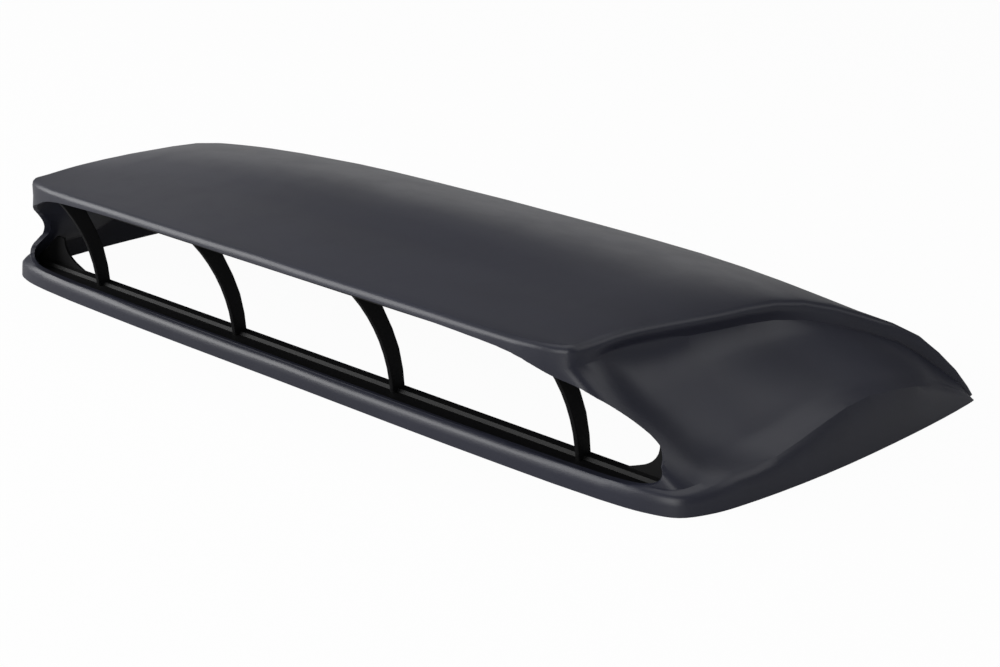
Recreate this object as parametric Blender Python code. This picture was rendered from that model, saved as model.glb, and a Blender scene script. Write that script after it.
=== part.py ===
"""A car bonnet vent: a wide scoop, open underneath, with a louvre insert of four vanes in its mouth.

X is across the car, +X to the viewer's right. -Y is the mouth, which faces the front of the car, and
+Z is up. The base rim lies flat at z = 0 and the origin is at the middle of the bounding box on plan.
Lengths are metres.
"""

import math

import bmesh
import bpy
from mathutils import Matrix, Vector

# Overall size
HALF_WIDTH = 0.300  # base rim, centre to side
DEPTH = 0.3155  # lip to the back of the rim, on the centreline
LIP_OVERHANG = 0.0165  # the lip stands this far in front of the base rim
LIP_HEIGHT = 0.0746
CROWN_HEIGHT = 0.091  # highest point of the roof

# Scoop moulding
WALL = 0.0025
LIP_RADIUS = 0.0036
LIP_EDGE = 0.0015  # the lip ends this far below its widest line
UNDERCUT = 0.0034  # the roof's edge stands proud of the side's hollow by this
FOOT_INSET = 0.008  # top of the skirt, inward from the base rim, along the sides
FRONT_INSET = 0.0045
SKIRT_FRONT = 0.0105  # height of the skirt under the mouth
SKIRT_SIDE = 0.034
RIM_DROP = 0.008  # the forms run this far below the rim before they are trimmed flat

# Louvre insert, a black moulding behind the mouth
GAP = 0.0003  # clearance to the scoop moulding
VANE_COUNT = 4
VANE_END = 0.0915  # the outermost vane stands this far inside the rim's side
VANE_PITCH = 2 * (HALF_WIDTH - VANE_END) / (VANE_COUNT - 1)
VANE_THICK = 0.0032
VANE_ROUND = 0.0009
RAIL_END = 0.022  # the rail ends this far inside the rim's side
RAIL_HALF = HALF_WIDTH - RAIL_END
RAIL_WALL = 0.0022
RAIL_BACK = 0.0310  # back edge of the rail, behind the base rim's front edge
RAIL_TOP = 0.0080
RAIL_FRONT = 0.0042
RAIL_FOOT = 0.0012  # the rail's legs end this far above the base rim
HEAD_DEPTH = 0.0255  # strip under the roof that carries the vanes
GUSSET_THICK = 0.0014
GUSSET_END = HALF_WIDTH - 2 * WALL  # past the scoop's inside, to which it is trimmed

# Moulded screw bosses under the scoop, each at a distance from the centre and behind the rim's front edge
BOSS_IN = 0.038  # from the side or the back of the rim
BOSS_SIDE = HALF_WIDTH - BOSS_IN
BOSSES = [(BOSS_SIDE, 0.150), (BOSS_SIDE, 0.210), (0.100, DEPTH - LIP_OVERHANG - BOSS_IN + 0.001)]
BOSS_RADIUS = 0.006
BOSS_DRAFT = 0.001
PILOT_RADIUS = 0.0020
PILOT_DEPTH = 0.012

# Steps of the forms
ACROSS = 16
BACK = 22
MOUTH_STEPS = 40

Y0 = LIP_OVERHANG - DEPTH / 2  # the base rim's front edge
W = HALF_WIDTH
H = LIP_HEIGHT
UP = Vector((0, 0, 1))

# The lip turns the corner and runs back as the crease. Each point is x, the distance behind the rim's
# front edge, and the height.
LIP = [
    (0, -LIP_OVERHANG, H),
    (0.40 * W, -LIP_OVERHANG, H),
    (0.68 * W, 0.001 - LIP_OVERHANG, H),
    (0.743 * W, -0.0115, H),
    (0.767 * W, -0.0065, H),
]
CREASE = [
    (0.767 * W, -0.0065, H),
    (0.774 * W, 0.0030, H),
    (0.783 * W, 0.029, H + 0.001),
    (0.810 * W, 0.080, H - 0.001),
    (0.832 * W, 0.145, H - 0.007),
    (0.890 * W, 0.212, H - 0.034),
    (0.948 * W, 0.2415, H - 0.060),
    (0.967 * W, 0.2585, -RIM_DROP),
]
RIM_FRONT = [
    (0, 0, 0),
    (0.50 * W, 0, 0),
    (0.80 * W, 0.0024, 0),
    (0.895 * W, 0.0062, 0),
    (0.9445 * W, 0.0125, 0),
]
RIM_SIDE = [
    (0.9445 * W, 0.0125, 0),
    (0.9715 * W, 0.0275, 0),
    (0.987 * W, 0.052, 0),
    (W, 0.110, 0),
    (0.995 * W, 0.190, 0),
    (0.983 * W, 0.236, 0),
    (0.971 * W, 0.2625, -0.010),
]
BACK_Y = DEPTH - LIP_OVERHANG + 0.0105  # the roof's end, below the rim
ROOF = [
    (0, -LIP_OVERHANG + LIP_RADIUS, H + LIP_RADIUS),
    (0, 0.040, 0.93 * CROWN_HEIGHT),
    (0, 0.095, CROWN_HEIGHT),
    (0, 0.165, 0.84 * CROWN_HEIGHT),
    (0, 0.235, 0.50 * CROWN_HEIGHT),
    (0, BACK_Y, -RIM_DROP),
]

# Upper and lower edge of the mouth. Each point is a station round the plan, as crease() takes it, and
# a height.
MOUTH_TOP = [
    (0, H - LIP_EDGE),
    (0.45, H - LIP_EDGE),
    (0.717, 0.934 * H),
    (0.83, 0.85 * H),
    (0.964, 0.766 * H),
    (1.037, 0.646 * H),
    (1.071, 0.528 * H),
    (1.079, 0.455 * H),
    (1.0755, 0.400 * H),
]
MOUTH_FOOT = [
    (0, SKIRT_FRONT + 0.0006),
    (0.45, SKIRT_FRONT + 0.0006),
    (0.80, SKIRT_FRONT + 0.0010),
    (0.90, SKIRT_FRONT + 0.0035),
    (0.945, 0.225 * H),
    (1.00, 0.285 * H),
    (1.045, 0.335 * H),
    (1.072, 0.385 * H),
]

# Section of the rail, as the distance behind the rim's front edge and the height: its top with the
# bead, then its underside between the two legs
RAIL = [
    (RAIL_FRONT, RAIL_FOOT),
    (RAIL_FRONT, 0.0058),
    (0.0100, 0.0058),
    (0.0110, 0.0080),
    (0.0130, 0.0080),
    (0.0140, 0.0062),
    (0.0240, 0.0062),
    (0.0252, RAIL_TOP),
    (RAIL_BACK, RAIL_TOP),
    (RAIL_BACK, RAIL_FOOT),
    (RAIL_BACK - RAIL_WALL, RAIL_FOOT),
    (RAIL_BACK - RAIL_WALL, 0.0058 - RAIL_WALL),
    (RAIL_FRONT + RAIL_WALL, 0.0058 - RAIL_WALL),
    (RAIL_FRONT + RAIL_WALL, RAIL_FOOT),
]
# Web at each end of the rail, as the distance from the centre and the height
GUSSET = [
    (W - 0.0680, 0.0070),
    (W - 0.0600, 0.0098),
    (W - 0.0535, 0.0124),
    (W - 0.0475, 0.0165),
    (W - 0.0444, 0.0213),
    (W - 0.0438, 0.0260),
]
VANE_FRONT = [(0.0215, 0.0050), (0.0190, 0.021), (0.0130, 0.039), (0.0030, 0.057), (-0.0110, H)]
VANE_BACK = [(RAIL_BACK - 0.0006, 0.0055), (0.0280, 0.026), (0.0210, 0.046), (0.0130, 0.062), (0.0088, H)]


def clear():
    for thing in list(bpy.data.objects):
        bpy.data.objects.remove(thing, do_unlink=True)


def collection(name):
    made = bpy.data.collections.new(name)
    bpy.context.scene.collection.children.link(made)
    return made


def put(name, bm, where):
    bmesh.ops.recalc_face_normals(bm, faces=bm.faces)
    mesh = bpy.data.meshes.new(name)
    bm.to_mesh(mesh)
    bm.free()
    made = bpy.data.objects.new(name, mesh)
    where.objects.link(made)
    return made


def cut(thing, tool, operation="DIFFERENCE"):
    """The Manifold solver, because the Exact one leaves open edges where fine facets meet."""
    step = thing.modifiers.new(tool.name, "BOOLEAN")
    step.operation = operation
    step.solver = "MANIFOLD"
    step.object = tool


def spacing(points):
    """Running sum of the square roots of the distances between points."""
    sums = [0.0]
    for a, b in zip(points, points[1:]):
        sums.append(sums[-1] + math.sqrt((Vector(b) - Vector(a)).length))
    return sums


def spline(points, t):
    """A smooth curve through a few points, t from 0 to 1."""
    p = [Vector(q) for q in points]
    knots = spacing(points)
    s = min(max(t, 0.0), 1.0) * knots[-1]
    i = max(k for k in range(len(p) - 1) if knots[k] <= s + 1e-12)

    def slope(k):
        if k in (0, len(p) - 1):
            j = min(k, len(p) - 2)
            return (p[j + 1] - p[j]) / (knots[j + 1] - knots[j])
        left, right = knots[k] - knots[k - 1], knots[k + 1] - knots[k]
        return ((p[k] - p[k - 1]) / left * right + (p[k + 1] - p[k]) / right * left) / (left + right)

    h = knots[i + 1] - knots[i]
    x = (s - knots[i]) / h
    a, b, c, d = 2 * x**3 - 3 * x**2 + 1, x**3 - 2 * x**2 + x, 3 * x**2 - 2 * x**3, x**3 - x**2
    return p[i] * a + slope(i) * (b * h) + p[i + 1] * c + slope(i + 1) * (d * h)


def level(pairs, t):
    """One number that varies smoothly along t."""
    for (ta, a), (tb, b) in zip(pairs, pairs[1:]):
        if t <= tb:
            x = min(max((t - ta) / (tb - ta), 0.0), 1.0)
            return a + (b - a) * x * x * (3 - 2 * x)
    return pairs[-1][1]


def stretch(t, knee, share):
    """Runs 0 to 1 in two even stages: the first share of t reaches the knee."""
    return t / share * knee if t < share else knee + (t - share) / (1 - share) * (1 - knee)


def bezier(a, b, c, d, t):
    s = 1 - t
    return a * s**3 + b * (3 * s * s * t) + c * (3 * s * t * t) + d * t**3


def around(front, side, q):
    """One smooth curve round the corner: q runs 0 to 1 along the front and 1 to 2 along the side."""
    whole = front + side[1:]
    corner = spacing(front)[-1] / spacing(whole)[-1]
    return spline(whole, q * corner if q <= 1 else corner + (q - 1) * (1 - corner))


def crease(q):
    """Edge of the roof, the lip and then the crease."""
    return around(LIP, CREASE, q)


def rim(q):
    return around(RIM_FRONT, RIM_SIDE, q)


def outward(curve, q):
    """Level direction away from the scoop, square to the curve."""
    step = 0.03
    if q < step:
        return Vector((0, -1, 0))
    along = curve(min(q + step, 2.0)) - curve(q - step)
    return Vector((along.y, -along.x, 0)).normalized()


def skirt_height(q):
    most = level([(0, SKIRT_FRONT), (1.0, 0.012), (1.25, 0.017), (1.55, SKIRT_SIDE), (2, SKIRT_SIDE)], q)
    c, b = crease(q), rim(q)
    return min(most, b.z + 0.5 * (c.z - b.z))


def profile(q, inset=0.0):
    """Section from the roof's edge down the side to below the base rim, moved inward by the inset."""
    c, n = crease(q), outward(crease, q)
    b, m = rim(q), outward(rim, q)
    height = c.z - b.z
    r = LIP_RADIUS - inset
    points = []
    for k in range(4):
        angle = math.pi / 2 * (1 - k / 3)
        points.append(c - n * LIP_RADIUS + n * (r * math.cos(angle)) + UP * (r * math.sin(angle)))
    # under the edge the side steps in, and further back it runs straight on
    fade = level([(0, 0), (1.09, 0), (1.17, 1), (1.35, 1), (1.62, 0), (2, 0)], q)
    drop = min(0.007, 0.2 * height)
    under = c - n * inset
    top = under - n * (UNDERCUT * fade) - UP * drop
    for k in range(1, 4):
        points.append(bezier(under, under - UP * (0.4 * drop), top + UP * (0.4 * drop), top, k / 3))
    # the side, hollow behind the mouth and straight near the back
    insets = [(0, FRONT_INSET), (0.8, FRONT_INSET), (1.1, FOOT_INSET), (1.7, FOOT_INSET), (2, 0.0015)]
    set_in = level(insets, q)
    foot = b - m * (set_in + inset)
    foot.z = skirt_height(q) - 0.6 * inset
    tall = top.z - foot.z
    hollow = level([(0, 0), (1.02, 0.1), (1.30, 1), (1.42, 1), (1.62, 0), (2, 0)], q)
    reach = foot - top
    reach.z = 0
    inward = max(0.62 * reach.dot(m), 0.004) * hollow
    first = top + reach * (0.04 + 0.26 * (1 - hollow)) - UP * (tall * (0.55 - 0.25 * (1 - hollow)))
    second = foot - m * inward + UP * (tall * (0.04 + 0.3 * (1 - hollow))) - reach * (0.3 * (1 - hollow))
    for k in range(1, 10):
        points.append(bezier(top, first, second, foot, k / 9))
    # the rounded skirt and the drop past the rim
    low = b - m * (0.15 * set_in + inset)
    low.z += 0.45 * (foot.z - b.z)
    corner = b - m * inset
    corner.z = foot.z
    for k in range(1, 4):
        points.append(bezier(foot, foot.lerp(corner, 0.55), low.lerp(corner, 0.55), low, k / 3))
    points.append(b - m * inset - UP * RIM_DROP)
    return points


def side_point(q, z):
    """Point of the outer side at one station and height."""
    rows = profile(q)[3:]
    for a, b in zip(rows, rows[1:]):
        if b.z <= z <= a.z:
            return a.lerp(b, (a.z - z) / (a.z - b.z))
    raise ValueError(f"no side at station {q:.3f}, height {z:.4f}")


def roof_point(u, v, inset=0.0):
    """Patch between the lip, the crease, the centreline and the back edge."""
    def edge(q):
        return profile(q, inset)[0]

    def back(s):
        y = BACK_Y - 1.6 * inset
        return spline([(0, y, -RIM_DROP), (0.5 * W, y - 0.006, -RIM_DROP), tuple(edge(2.0))], s)

    front, rear = edge(u), back(u)
    side = edge(1 + v)
    along = spline(ROOF, min(v + 0.02, 1)) - spline(ROOF, max(v - 0.02, 0))
    middle = spline(ROOF, v) - Vector((0, -along.z, along.y)).normalized() * inset
    near, far = 1 - u**2.2, u**2.2
    return (
        front * (1 - v) + rear * v
        + (middle - (edge(0) * (1 - v) + back(0) * v)) * near
        + (side - (edge(1) * (1 - v) + back(1) * v)) * far
    )


def form(name, inset, where):
    """The scoop's outer form as a closed solid, or that form moved inward all over by the inset."""
    bm = bmesh.new()
    shift = Vector((0, Y0, 0))
    us = [stretch(i / ACROSS, 0.70, 0.375) for i in range(ACROSS + 1)]
    vs = [1 - stretch(1 - j / BACK, 0.80, 0.64) for j in range(BACK + 1)]
    roof = [[bm.verts.new(roof_point(u, v, inset) + shift) for u in us] for v in vs]
    edge = roof[0] + [row[-1] for row in roof[1:]]
    strip = []
    for q, first in zip(us + [1 + v for v in vs[1:-1]], edge):
        strip.append([first] + [bm.verts.new(p + shift) for p in profile(q, inset)[1:]])
    for rows in (roof, strip):
        for a, b in zip(rows, rows[1:]):
            for i in range(len(a) - 1):
                bm.faces.new((a[i], a[i + 1], b[i + 1], b[i]))
    for a, b in zip(strip[-1], strip[-1][1:]):  # the side runs out to a point at the rear corner
        bm.faces.new((a, b, edge[-1]))
    for vert in bm.verts:
        if abs(vert.co.x) < 1e-5:
            vert.co.x = 0.0
    bmesh.ops.mirror(bm, geom=bm.verts[:] + bm.edges[:] + bm.faces[:], axis="X", merge_dist=1e-6)
    foot = bmesh.ops.extrude_edge_only(bm, edges=[e for e in bm.edges if e.is_boundary])["geom"]
    for vert in (v for v in foot if isinstance(v, bmesh.types.BMVert)):
        vert.co.z = -4 * RIM_DROP
        vert.co.y += RIM_DROP / 2
    bmesh.ops.holes_fill(bm, edges=[e for e in bm.edges if e.is_boundary], sides=0)
    bmesh.ops.triangulate(bm, faces=[f for f in bm.faces if len(f.verts) > 4])
    return put(name, bm, where)


def loft(name, sections, where):
    """Closed solid through matching rings of points."""
    bm = bmesh.new()
    rings = [[bm.verts.new(p) for p in ring] for ring in sections]
    count = len(rings[0])
    for a, b in zip(rings, rings[1:]):
        for i in range(count):
            j = (i + 1) % count
            bm.faces.new((a[i], a[j], b[j], b[i]))
    bm.faces.new(rings[0])
    bm.faces.new(rings[-1])
    return put(name, bm, where)


def mouth(where):
    """Plug that cuts the mouth square to the front and to both cheeks."""
    rings = []
    for k in range(-MOUTH_STEPS, MOUTH_STEPS + 1):
        t = stretch(abs(k) / MOUTH_STEPS, 0.5, 0.3)
        ring = []
        for line, reaches in ((MOUTH_TOP, (0.012, -0.030)), (MOUTH_FOOT, (-0.030, 0.012))):
            at = spline([(q, 0, z) for q, z in line], t)
            angle = math.radians(level([(0.5, -90), (1.15, -35)], at.x))
            for reach in reaches:
                out = side_point(at.x, at.z) + reach * Vector((math.cos(angle), math.sin(angle), 0))
                ring.append(Vector((math.copysign(out.x, k) if k else 0, out.y + Y0, at.z)))
        rings.append(ring)
    return loft("mouth", rings, where)


def block(name, low, high, where):
    bm = bmesh.new()
    size = Vector(high) - Vector(low)
    place = Matrix.Translation(Vector(low) + size / 2) @ Matrix.Diagonal((*size, 1))
    bmesh.ops.create_cube(bm, size=1, matrix=place)
    return put(name, bm, where)


def posts(name, radius, draft, low, high, where):
    """A round post at each boss, on both sides."""
    bm = bmesh.new()
    for x, y in BOSSES:
        for side in (-1, 1):
            place = Matrix.Translation((side * x, y + Y0, (low + high) / 2))
            bmesh.ops.create_cone(
                bm, cap_ends=True, segments=16, radius1=radius, radius2=radius + draft,
                depth=high - low, matrix=place,
            )
    return put(name, bm, where)


def scoop(vent, cutters):
    shell = form("scoop_shell", 0.0, vent)
    inner = form("inner_form", WALL, cutters)
    cut(inner, posts("boss_posts", BOSS_RADIUS, BOSS_DRAFT, -4.5 * RIM_DROP, CROWN_HEIGHT, cutters))
    below = block("below_rim", (-0.4, -0.4, -0.05), (0.4, 0.4, 0), cutters)
    pilots = posts("pilot_holes", PILOT_RADIUS, 0, -0.002, PILOT_DEPTH, cutters)
    for tool in (inner, below, mouth(cutters), pilots):
        cut(shell, tool)
    return shell


def plate(bm, outline, push):
    """A flat outline pushed into a solid."""
    made = bmesh.ops.extrude_face_region(bm, geom=[bm.faces.new([bm.verts.new(p) for p in outline])])
    moved = [v for v in made["geom"] if isinstance(v, bmesh.types.BMVert)]
    bmesh.ops.translate(bm, verts=moved, vec=push)


def rail(where):
    """Lower rail, an upturned channel with one raised bead along it."""
    bm = bmesh.new()
    plate(bm, [(-RAIL_HALF, y + Y0, z) for y, z in RAIL], (2 * RAIL_HALF, 0, 0))
    return put("louvre_insert", bm, where)


def vanes(where):
    """Curved plates that lean forward to meet the underside of the lip."""
    front = [spline([(0, y, z) for y, z in VANE_FRONT], k / 9) for k in range(10)]
    back = [spline([(0, y, z) for y, z in VANE_BACK], k / 6) for k in range(7)]
    bm = bmesh.new()
    for i in range(VANE_COUNT):
        x = (i - (VANE_COUNT - 1) / 2) * VANE_PITCH
        outline = [(x - VANE_THICK / 2, p.y + Y0, p.z) for p in front + back[::-1]]
        plate(bm, outline, (VANE_THICK, 0, 0))
    bmesh.ops.recalc_face_normals(bm, faces=bm.faces)
    flat = [e for e in bm.edges if abs(e.verts[0].co.x - e.verts[1].co.x) < 1e-6]
    bmesh.ops.bevel(
        bm, geom=flat, offset=VANE_ROUND, segments=2, profile=0.5, affect="EDGES",
        clamp_overlap=True, material=-1,
    )
    return put("vanes", bm, where)


def head_strip(where):
    """Strip under the roof, just behind the lip, that carries the tops of the vanes."""
    rings = []
    for k in range(-12, 13):
        p = crease(abs(k) / 12 * 0.90)
        x, y = math.copysign(p.x, k), p.y + 0.0010 + Y0
        rings.append([
            Vector((x, y, H - 0.0033)), Vector((x, y + HEAD_DEPTH, H - 0.0008)),
            Vector((x, y + HEAD_DEPTH, H + 0.02)), Vector((x, y, H + 0.02)),
        ])
    return loft("head_strip", rings, where)


def gussets(where):
    """Web that rises from each end of the rail's back leg to meet the cheek."""
    curve = [spline([(x, 0, z) for x, z in GUSSET], k / 10) for k in range(11)]
    end, low = GUSSET_END, RAIL_FOOT + 0.0018
    outline = [(p.x, p.z) for p in curve] + [(end, GUSSET[-1][1]), (end, low), (GUSSET[0][0], low)]
    bm = bmesh.new()
    for side in (-1, 1):
        face = [(side * x, RAIL_BACK - RAIL_WALL + 0.0004 + Y0, z) for x, z in outline]
        plate(bm, face, (0, GUSSET_THICK, 0))
    return put("gussets", bm, where)


def louvres(vent, cutters):
    insert = rail(vent)
    for tool in (vanes(cutters), head_strip(cutters), gussets(cutters)):
        cut(insert, tool, "UNION")
    cut(insert, form("clear_form", WALL + GAP, cutters), "INTERSECT")
    return insert


def smooth_by_angle(things, degrees):
    """Last step of each piece: it shades smooth, but an edge that turns more than the angle stays sharp."""
    group = bpy.data.node_groups.new("smooth by angle", "GeometryNodeTree")
    group.interface.new_socket("Geometry", in_out="INPUT", socket_type="NodeSocketGeometry")
    group.interface.new_socket("Geometry", in_out="OUTPUT", socket_type="NodeSocketGeometry")
    node, link = group.nodes.new, group.links.new
    start, end = node("NodeGroupInput"), node("NodeGroupOutput")
    faces, edges = node("GeometryNodeSetShadeSmooth"), node("GeometryNodeSetShadeSmooth")
    angle, over = node("GeometryNodeInputMeshEdgeAngle"), node("FunctionNodeCompare")
    edges.domain = "EDGE"
    edges.inputs["Shade Smooth"].default_value = False
    over.operation = "GREATER_THAN"
    over.inputs["B"].default_value = math.radians(degrees)
    link(angle.outputs["Unsigned Angle"], over.inputs["A"])
    link(over.outputs["Result"], edges.inputs["Selection"])
    link(start.outputs[0], faces.inputs["Geometry"])
    link(faces.outputs[0], edges.inputs["Geometry"])
    link(edges.outputs[0], end.inputs[0])
    for thing in things:
        thing.modifiers.new("smooth by angle", "NODES").node_group = group


def finish(thing, colour, roughness):
    material = bpy.data.materials.new(thing.name)
    material.use_nodes = True
    shader = material.node_tree.nodes["Principled BSDF"]
    shader.inputs["Base Color"].default_value = (*colour, 1)
    shader.inputs["Roughness"].default_value = roughness
    thing.data.materials.append(material)


def main():
    clear()
    vent = collection("bonnet_vent")
    cutters = collection("cutters")
    cutters.hide_render = True
    shell = scoop(vent, cutters)
    insert = louvres(vent, cutters)
    smooth_by_angle((shell, insert), 32)
    for tool in cutters.objects:
        tool.hide_render = True
        tool.display_type = "WIRE"
    finish(shell, (0.052, 0.053, 0.062), 0.42)
    finish(insert, (0.004, 0.004, 0.004), 0.55)


main()
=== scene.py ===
"""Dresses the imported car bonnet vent: the scoop moulding, its black louvre insert and a pale studio."""

import math

import bmesh
import bpy
from bpy.props import FloatProperty, FloatVectorProperty, PointerProperty
from bpy.types import Operator, Panel, PropertyGroup
from mathutils import Euler, Matrix, Vector


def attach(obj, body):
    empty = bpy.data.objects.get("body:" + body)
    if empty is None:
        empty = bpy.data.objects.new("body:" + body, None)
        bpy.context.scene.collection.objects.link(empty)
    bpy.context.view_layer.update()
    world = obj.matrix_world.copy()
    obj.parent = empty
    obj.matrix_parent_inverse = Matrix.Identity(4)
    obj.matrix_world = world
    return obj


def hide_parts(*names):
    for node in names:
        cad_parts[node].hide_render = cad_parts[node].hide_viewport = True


bl_info = {
    "name": "Bonnet Vent",
    "version": (1, 0, 0),
    "blender": (4, 5, 0),
    "location": "View3D > Sidebar > Bonnet Vent",
    "description": "Finishes a car bonnet vent over its packed solids and sets it in a pale studio",
    "category": "Add Mesh",
}

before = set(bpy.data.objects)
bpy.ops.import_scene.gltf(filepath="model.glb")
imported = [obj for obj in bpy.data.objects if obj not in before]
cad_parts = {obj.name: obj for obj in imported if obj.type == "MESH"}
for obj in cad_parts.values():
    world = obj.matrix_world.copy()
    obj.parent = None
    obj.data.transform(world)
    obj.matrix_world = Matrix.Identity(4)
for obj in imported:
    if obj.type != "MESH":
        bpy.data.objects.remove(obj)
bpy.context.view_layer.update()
SAME_POINT = 2e-6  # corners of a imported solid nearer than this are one
SHARP_TURN = math.radians(40)  # an edge that turns more than this is rounded
PAPER = (0.995, 0.995, 0.995)
PAPER_AS_LIGHT = (0.45, 0.45, 0.45)  # a mid grey, so that the floor doesn't fill the skirt with light
DIM_ROOM = (0.96, 0.98, 1.0)
MIDDLE = Vector((0.0, 0.0, 0.05))
LAMP_DISTANCE = 1.6

# Each softbox: its name, width and height, degrees round from straight behind, degrees above the floor
SOFTBOXES = (
    ("overhead", (1.6, 1.6), 10, 84),
    ("side", (1.0, 1.0), 60, 32),
    ("front", (1.6, 1.0), 225, 20),
    ("back", (1.2, 0.6), 315, 10),
    ("left", (1.0, 0.8), 275, 30),
    ("fill", (1.2, 1.0), 150, 14),
)


class Value:
    """A socket in a material. Sums and products written on it become Math nodes."""

    def __init__(self, recipe, socket):
        self.recipe = recipe
        self.socket = socket

    def maths(self, operation, first, second):
        return self.recipe.node("ShaderNodeMath", {"operation": operation}, {0: first, 1: second})

    def __add__(self, other):
        return self.maths("ADD", self, other)

    def __mul__(self, other):
        return self.maths("MULTIPLY", self, other)

    __radd__ = __add__
    __rmul__ = __mul__


class Recipe:
    """Adds nodes to one material's or the world's tree."""

    def __init__(self, tree):
        self.tree = tree

    def feed(self, socket, value):
        """Links a value to a socket, or sets the socket to a number or colour."""
        if isinstance(value, Value):
            self.tree.links.new(value.socket, socket)
        else:
            socket.default_value = value

    def node(self, kind, settings, sockets, output=0):
        """Adds a node: its settings first, then the value or link of each of its sockets."""
        made = self.tree.nodes.new(kind)
        for name, value in settings.items():
            setattr(made, name, value)
        for name, value in sockets.items():
            self.feed(made.inputs[name], value)
        return Value(self, made.outputs[output])

    def spread(self, value, low, high):
        """Stretches the part of a value between two levels to 0 to 1."""
        return self.node(
            "ShaderNodeMapRange",
            {"clamp": True, "interpolation_type": "SMOOTHSTEP"},
            {"Value": value, "From Min": low, "From Max": high, "To Min": 0.0, "To Max": 1.0},
        )


class Finish(Recipe):
    """A material mixed on one Principled shader."""

    def __init__(self, name):
        self.material = bpy.data.materials.new(name)
        self.material.use_nodes = True
        super().__init__(self.material.node_tree)
        self.shader = self.tree.nodes["Principled BSDF"]

    def place(self):
        """Where a point lies on the object, in metres."""
        return self.node("ShaderNodeTexCoord", {}, {}, "Object")

    def cloud(self, size, detail, roughness, stretch=(1, 1, 1)):
        """Soft blotches about this many metres across, 0 to 1."""
        at = self.node("ShaderNodeMapping", {}, {"Vector": self.place(), "Scale": stretch})
        return self.node(
            "ShaderNodeTexNoise",
            {"noise_dimensions": "3D"},
            {"Vector": at, "Scale": 1 / size, "Detail": detail, "Roughness": roughness},
        )

    def pebble(self, size):
        """Moulded grain: rounded cells about this many metres across, 0 at each middle."""
        return self.node(
            "ShaderNodeTexVoronoi",
            {"feature": "SMOOTH_F1"},
            {"Vector": self.place(), "Scale": 1 / size, "Smoothness": 0.6},
        )

    def blend(self, amount, first, second):
        """The first colour at 0, the second at 1. A Mix node has its colours on sockets 6, 7 and 2."""
        return self.node(
            "ShaderNodeMix",
            {"data_type": "RGBA"},
            {"Factor": amount, 6: (*first, 1), 7: (*second, 1)},
            2,
        )

    def relief(self, height, depth):
        """Turns a height of 0 to 1 into a bumpy surface this many metres deep."""
        return self.node("ShaderNodeBump", {}, {"Height": height, "Distance": depth, "Strength": 1.0})

    def coat(self, **sockets):
        """Sets or links the shader's own sockets, named as it names them."""
        for name, value in sockets.items():
            self.feed(self.shader.inputs[name.replace("_", " ")], value)
        return self.material


def tone(colour, share):
    """The colour made lighter or darker by a share."""
    return tuple(c * share for c in colour)


def satin_moulding(look):
    """The scoop's dark satin plastic, with a fine moulded grain and faint cloudiness."""
    finish = Finish("satin moulding")
    drift = finish.cloud(look.cloud_size, 3.0, 0.55, (0.6, 1.6, 1.0))
    handling = finish.spread(finish.cloud(look.cloud_size * 0.28, 4.0, 0.6), 0.35, 0.75)
    grain = finish.pebble(look.grain_size)
    fine = finish.cloud(look.grain_size * 0.6, 3.0, 0.6)
    colour = finish.blend(
        finish.spread(drift, 0.3, 0.7), tone(look.colour, 0.90), tone(look.colour, 1.12)
    )
    rough = look.roughness - 0.03 + drift * 0.05 + handling * 0.035 + fine * 0.03
    return finish.coat(
        Base_Color=colour,
        Roughness=rough,
        Normal=finish.relief(grain * 0.7 + fine * 0.3, look.grain_depth),
        Specular_IOR_Level=look.shine,
    )


def black_moulding(look):
    """The louvre insert's deep black plastic, duller than the scoop's and with a finer grain."""
    finish = Finish("black moulding")
    drift = finish.cloud(0.05, 3.0, 0.55)
    fine = finish.cloud(look.grain_size * 0.6, 3.0, 0.6)
    colour = finish.blend(drift, tone(look.colour, 0.8), tone(look.colour, 1.25))
    return finish.coat(
        Base_Color=colour,
        Roughness=look.roughness + drift * 0.08 + fine * 0.04,
        Normal=finish.relief(finish.pebble(look.grain_size) * 0.6 + fine * 0.4, look.grain_depth),
        Specular_IOR_Level=look.shine,
    )


def merged_copy(node_name):
    """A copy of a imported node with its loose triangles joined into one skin."""
    shape = bmesh.new()
    shape.from_mesh(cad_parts[node_name].data)
    bmesh.ops.remove_doubles(shape, verts=shape.verts, dist=SAME_POINT)
    bmesh.ops.dissolve_degenerate(shape, dist=SAME_POINT, edges=shape.edges)
    return shape


def placed(shape, name):
    """Turns a finished shape into a piece of the scene."""
    mesh = bpy.data.meshes.new(name)
    shape.to_mesh(mesh)
    shape.free()
    piece = bpy.data.objects.new(name, mesh)
    bpy.context.scene.collection.objects.link(piece)
    return piece


def push_out(shape, centre, reach, push):
    """Moves both skins of both flanks near a centre, most there and fading to nothing at the reach."""
    for vert in shape.verts:
        side = math.copysign(1, vert.co.x)
        at = Vector((abs(vert.co.x), vert.co.y, vert.co.z)) - Vector(centre)
        far = sum((a / r) ** 2 for a, r in zip(at, reach))
        if far < 1:
            vert.co += Vector((side * push[0], push[1], push[2])) * (1 - far) ** 2


def soften(piece, radius):
    """Rounds each sharp edge and shades the rest smooth."""
    if "custom_normal" in piece.data.attributes:
        piece.data.attributes.remove(piece.data.attributes["custom_normal"])
    for face in piece.data.polygons:
        face.use_smooth = True
    rounding = piece.modifiers.new("rounded edges", "BEVEL")
    rounding.width = radius
    rounding.segments = 2
    rounding.profile = 0.5
    rounding.limit_method = "ANGLE"
    rounding.angle_limit = SHARP_TURN
    rounding.use_clamp_overlap = True
    rounding.harden_normals = False
    rounding.miter_outer = "MITER_ARC"
    facing = piece.modifiers.new("even shading", "WEIGHTED_NORMAL")
    facing.keep_sharp = True
    facing.weight = 50


def dress(piece, material):
    """Gives a piece its one material."""
    piece.data.materials.clear()
    piece.data.materials.append(material)


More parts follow.
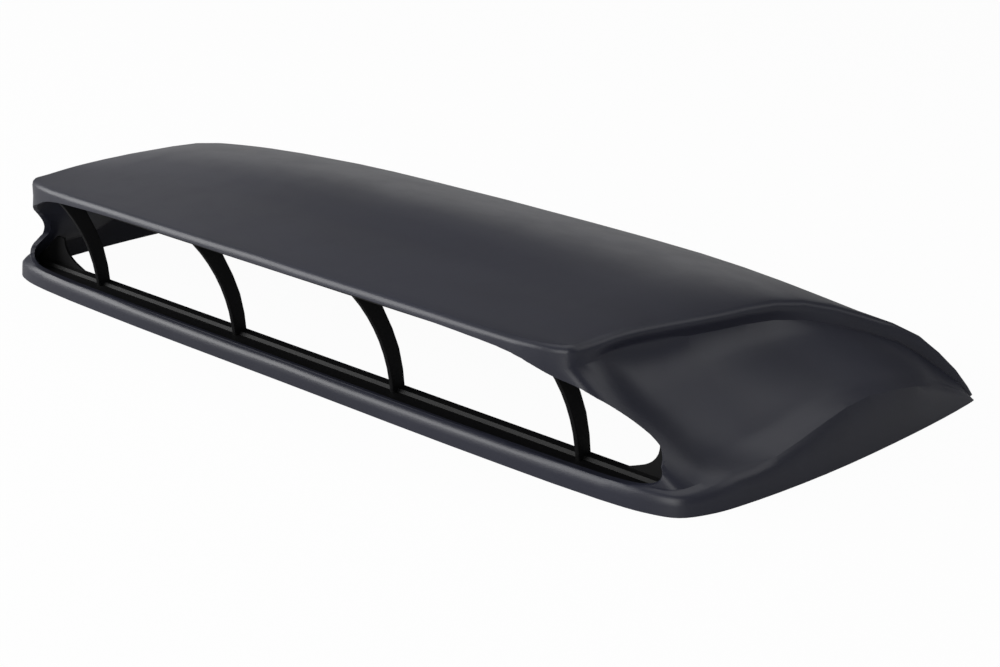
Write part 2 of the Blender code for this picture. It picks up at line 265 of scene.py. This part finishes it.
class ScoopLook(PropertyGroup):
    """Finish of the scoop moulding."""

    hollow_centre: FloatVectorProperty(
        name="Hollow Centre", description="Middle of the hollow in the flank behind the mouth",
        size=3, default=(0.256, -0.055, 0.036), subtype="TRANSLATION", unit="LENGTH",
    )
    hollow_reach: FloatVectorProperty(
        name="Hollow Reach", description="How far round its middle the hollow is eased",
        size=3, default=(0.038, 0.075, 0.032), subtype="XYZ", unit="LENGTH",
    )
    hollow_push: FloatVectorProperty(
        name="Hollow Push", description="How far the hollow's middle is brought out",
        size=3, default=(0.010, -0.001, 0.005), subtype="XYZ", unit="LENGTH", precision=4,
    )
    haunch_centre: FloatVectorProperty(
        name="Haunch Centre", description="Middle of the swelling behind the hollow",
        size=3, default=(0.284, 0.050, 0.036), subtype="TRANSLATION", unit="LENGTH",
    )
    haunch_reach: FloatVectorProperty(
        name="Haunch Reach", description="How far round its middle the swelling runs",
        size=3, default=(0.034, 0.055, 0.030), subtype="XYZ", unit="LENGTH",
    )
    haunch_push: FloatVectorProperty(
        name="Haunch Push", description="How far the swelling's middle is brought out",
        size=3, default=(0.006, 0.003, 0.004), subtype="XYZ", unit="LENGTH", precision=4,
    )
    edge_radius: FloatProperty(
        name="Edge Radius", description="Rounding of the mouth and of the base rim",
        default=0.0004, min=0.0, soft_max=0.001, unit="LENGTH", precision=5,
    )
    colour: FloatVectorProperty(
        name="Colour", description="Colour of the satin plastic",
        subtype="COLOR", size=3, default=(0.0195, 0.0207, 0.0330), min=0.0, max=1.0,
    )
    roughness: FloatProperty(
        name="Roughness", description="How far the satin spreads a highlight",
        default=0.36, min=0.0, max=1.0, subtype="FACTOR",
    )
    shine: FloatProperty(
        name="Shine", description="Strength of the highlights",
        default=0.5, min=0.0, max=1.0, subtype="FACTOR",
    )
    grain_size: FloatProperty(
        name="Grain Size", description="Width of one pebble of the moulded grain",
        default=0.0011, min=0.0001, soft_max=0.005, unit="LENGTH", precision=5,
    )
    grain_depth: FloatProperty(
        name="Grain Depth", description="Depth of the moulded grain",
        default=0.000018, min=0.0, soft_max=0.0002, unit="LENGTH", precision=6,
    )
    cloud_size: FloatProperty(
        name="Cloud Size", description="Width of the faint blotches",
        default=0.09, min=0.005, soft_max=0.5, unit="LENGTH",
    )


class LouvreLook(PropertyGroup):
    """Finish of the louvre insert."""

    edge_radius: FloatProperty(
        name="Edge Radius", description="Rounding of the rail and of the vanes",
        default=0.0003, min=0.0, soft_max=0.001, unit="LENGTH", precision=5,
    )
    colour: FloatVectorProperty(
        name="Colour", description="Colour of the black plastic",
        subtype="COLOR", size=3, default=(0.0032, 0.0032, 0.0036), min=0.0, max=1.0,
    )
    roughness: FloatProperty(
        name="Roughness", description="How far the black plastic spreads a highlight",
        default=0.5, min=0.0, max=1.0, subtype="FACTOR",
    )
    shine: FloatProperty(
        name="Shine", description="Strength of the highlights",
        default=0.25, min=0.0, max=1.0, subtype="FACTOR",
    )
    grain_size: FloatProperty(
        name="Grain Size", description="Width of one pebble of the moulded grain",
        default=0.0009, min=0.0001, soft_max=0.005, unit="LENGTH", precision=5,
    )
    grain_depth: FloatProperty(
        name="Grain Depth", description="Depth of the moulded grain",
        default=0.000015, min=0.0, soft_max=0.0002, unit="LENGTH", precision=6,
    )


class StudioLook(PropertyGroup):
    """Floor, light and camera."""

    floor_size: FloatProperty(
        name="Floor Size", description="Side of the square floor",
        default=14.0, min=1.0, soft_max=40.0, unit="LENGTH",
    )
    floor_white: FloatProperty(
        name="Floor White", description="Share of the floor's colour that no shadow darkens",
        default=0.97, min=0.0, max=1.0, subtype="FACTOR",
    )
    mirrored_white: FloatProperty(
        name="Mirrored White",
        description="Share of the white floor and room that a shiny surface mirrors",
        default=0.08, min=0.0, max=1.0, subtype="FACTOR",
    )
    room_light: FloatProperty(
        name="Room Light", description="Strength of the soft light from all round",
        default=0.02, min=0.0, soft_max=2.0,
    )
    overhead_power: FloatProperty(
        name="Overhead Power", description="Power of the softbox overhead, in watts",
        default=8.8, min=0.0, soft_max=200.0,
    )
    side_power: FloatProperty(
        name="Side Power", description="Power of the softbox at the vent's right side, in watts",
        default=3.3, min=0.0, soft_max=200.0,
    )
    front_power: FloatProperty(
        name="Front Power", description="Power of the softbox before the mouth, in watts",
        default=23.0, min=0.0, soft_max=200.0,
    )
    back_power: FloatProperty(
        name="Back Power", description="Power of the low softbox behind the left end, in watts",
        default=1.2, min=0.0, soft_max=200.0,
    )
    left_power: FloatProperty(
        name="Left Power", description="Power of the softbox beyond the left end, in watts",
        default=0.9, min=0.0, soft_max=200.0,
    )
    fill_power: FloatProperty(
        name="Fill Power", description="Power of the low softbox beside the camera, in watts",
        default=11.0, min=0.0, soft_max=200.0,
    )
    camera_place: FloatVectorProperty(
        name="Camera Place", description="Where the camera stands",
        size=3, default=(0.88242, -0.84042, 0.40659), subtype="TRANSLATION", unit="LENGTH",
    )
    camera_turn: FloatProperty(
        name="Camera Turn", description="How far round the vent the camera stands",
        default=math.radians(45.32), subtype="ANGLE",
    )
    camera_tilt: FloatProperty(
        name="Camera Tilt", description="How far down the camera looks",
        default=math.radians(18.68), subtype="ANGLE",
    )
    camera_roll: FloatProperty(
        name="Camera Roll", description="How far the camera leans",
        default=math.radians(-0.2), subtype="ANGLE",
    )
    camera_lens: FloatProperty(
        name="Camera Lens", description="Focal length in millimetres on a 36 mm sensor",
        default=76.25, min=10.0, soft_max=200.0,
    )


class MakeScoop(Operator):
    """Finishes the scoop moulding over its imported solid"""

    bl_idname = "bonnet_vent.make_scoop"
    bl_label = "Scoop Moulding"

    def execute(self, context):
        look = context.scene.scoop_look
        shape = merged_copy("scoop_shell")
        push_out(shape, look.hollow_centre, look.hollow_reach, look.hollow_push)
        push_out(shape, look.haunch_centre, look.haunch_reach, look.haunch_push)
        piece = placed(shape, "scoop_moulding")
        soften(piece, look.edge_radius)
        dress(piece, satin_moulding(look))
        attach(piece, "root")
        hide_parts("scoop_shell")
        return {"FINISHED"}


class MakeLouvres(Operator):
    """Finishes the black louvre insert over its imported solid"""

    bl_idname = "bonnet_vent.make_louvres"
    bl_label = "Louvre Insert"

    def execute(self, context):
        look = context.scene.louvre_look
        piece = placed(merged_copy("louvre_insert"), "louvre_moulding")
        soften(piece, look.edge_radius)
        dress(piece, black_moulding(look))
        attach(piece, "root")
        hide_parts("louvre_insert")
        return {"FINISHED"}


def softbox(name, power, size, turn, height):
    """Hangs a rectangular lamp that faces the vent."""
    lamp = bpy.data.lights.new(name, "AREA")
    lamp.shape = "RECTANGLE"
    lamp.energy = power
    lamp.size, lamp.size_y = size
    turn, height = math.radians(turn), math.radians(height)
    level = Vector((math.sin(turn), math.cos(turn), 0)) * math.cos(height)
    away = level + Vector((0, 0, math.sin(height)))
    hung = bpy.data.objects.new(name, lamp)
    hung.location = MIDDLE + away * LAMP_DISTANCE
    hung.rotation_euler = away.to_track_quat("Z", "Y").to_euler()
    bpy.context.scene.collection.objects.link(hung)


def sees_white(recipe, look):
    """1 for a ray from the camera or through glass, the mirrored share for a reflection, else 0."""
    camera = recipe.node("ShaderNodeLightPath", {}, {}, "Is Camera Ray")
    glass = recipe.node("ShaderNodeLightPath", {}, {}, "Is Transmission Ray")
    mirror = recipe.node("ShaderNodeLightPath", {}, {}, "Is Glossy Ray")
    return camera + glass + mirror * look.mirrored_white


def pale_floor(look):
    """White where it is looked at, less the vent's faint shadow, and mid grey as it lights the vent."""
    finish = Finish("pale floor")
    seen = sees_white(finish, look)
    glow = finish.node("ShaderNodeEmission", {}, {"Color": (*PAPER, 1)})
    finish.coat(
        Base_Color=finish.blend(seen, PAPER_AS_LIGHT, PAPER), Roughness=0.9, Specular_IOR_Level=0.0
    )
    paper = Value(finish, finish.shader.outputs["BSDF"])
    mixed = finish.node("ShaderNodeMixShader", {}, {0: seen * look.floor_white, 1: paper, 2: glow})
    finish.feed(finish.tree.nodes["Material Output"].inputs["Surface"], mixed)
    return finish.material


def pale_room(look):
    """White where it is looked at, and to every other ray a dim soft light from all round."""
    room = bpy.data.worlds.new("pale room")
    room.use_nodes = True
    recipe = Recipe(room.node_tree)
    seen = sees_white(recipe, look)
    soft = recipe.node(
        "ShaderNodeBackground", {}, {"Color": (*DIM_ROOM, 1), "Strength": look.room_light}
    )
    white = recipe.node("ShaderNodeBackground", {}, {"Color": (*PAPER, 1)})
    mixed = recipe.node("ShaderNodeMixShader", {}, {0: seen, 1: soft, 2: white})
    recipe.feed(room.node_tree.nodes["World Output"].inputs["Surface"], mixed)
    bpy.context.scene.world = room


def set_camera(look):
    """Stands the camera where the photograph was taken from."""
    camera = bpy.data.cameras.new("camera")
    camera.lens = look.camera_lens
    camera.sensor_width = 36.0
    camera.clip_start = 0.01
    holder = bpy.data.objects.new("camera", camera)
    facing = Euler((math.pi / 2 - look.camera_tilt, 0, look.camera_turn)).to_matrix()
    turned = facing @ Matrix.Rotation(look.camera_roll, 3, "Z")
    holder.matrix_world = Matrix.Translation(look.camera_place) @ turned.to_4x4()
    bpy.context.scene.collection.objects.link(holder)
    bpy.context.scene.camera = holder


class MakeStudio(Operator):
    """Lays the pale floor, hangs the soft lamps and sets the camera"""

    bl_idname = "bonnet_vent.make_studio"
    bl_label = "Studio"

    def execute(self, context):
        look = context.scene.studio_look
        shape = bmesh.new()
        bmesh.ops.create_grid(shape, x_segments=2, y_segments=2, size=look.floor_size / 2)
        mesh = bpy.data.meshes.new("floor")
        shape.to_mesh(mesh)
        shape.free()
        floor = bpy.data.objects.new("floor", mesh)
        context.scene.collection.objects.link(floor)
        dress(floor, pale_floor(look))
        pale_room(look)
        for side, size, turn, height in SOFTBOXES:
            softbox(side + " softbox", getattr(look, side + "_power"), size, turn, height)
        set_camera(look)
        context.scene.view_settings.view_transform = "Standard"
        return {"FINISHED"}


class VentPanel(Panel):
    """Lists the vent's pieces and their finishes."""

    bl_idname = "VIEW3D_PT_bonnet_vent"
    bl_label = "Bonnet Vent"
    bl_space_type = "VIEW_3D"
    bl_region_type = "UI"
    bl_category = "Bonnet Vent"

    def draw(self, context):
        for maker, look in (
            (MakeScoop, context.scene.scoop_look),
            (MakeLouvres, context.scene.louvre_look),
            (MakeStudio, context.scene.studio_look),
        ):
            box = self.layout.box()
            box.operator(maker.bl_idname)
            for name in look.bl_rna.properties.keys():
                if name not in ("name", "rna_type"):
                    box.prop(look, name)


CLASSES = (ScoopLook, LouvreLook, StudioLook, MakeScoop, MakeLouvres, MakeStudio, VentPanel)


def register():
    for made in CLASSES:
        bpy.utils.register_class(made)
    bpy.types.Scene.scoop_look = PointerProperty(type=ScoopLook)
    bpy.types.Scene.louvre_look = PointerProperty(type=LouvreLook)
    bpy.types.Scene.studio_look = PointerProperty(type=StudioLook)


def unregister():
    del bpy.types.Scene.studio_look
    del bpy.types.Scene.louvre_look
    del bpy.types.Scene.scoop_look
    for made in reversed(CLASSES):
        bpy.utils.unregister_class(made)


def main():
    register()
    bpy.ops.bonnet_vent.make_scoop()
    bpy.ops.bonnet_vent.make_louvres()
    bpy.ops.bonnet_vent.make_studio()


if __name__ == "__main__":
    main()
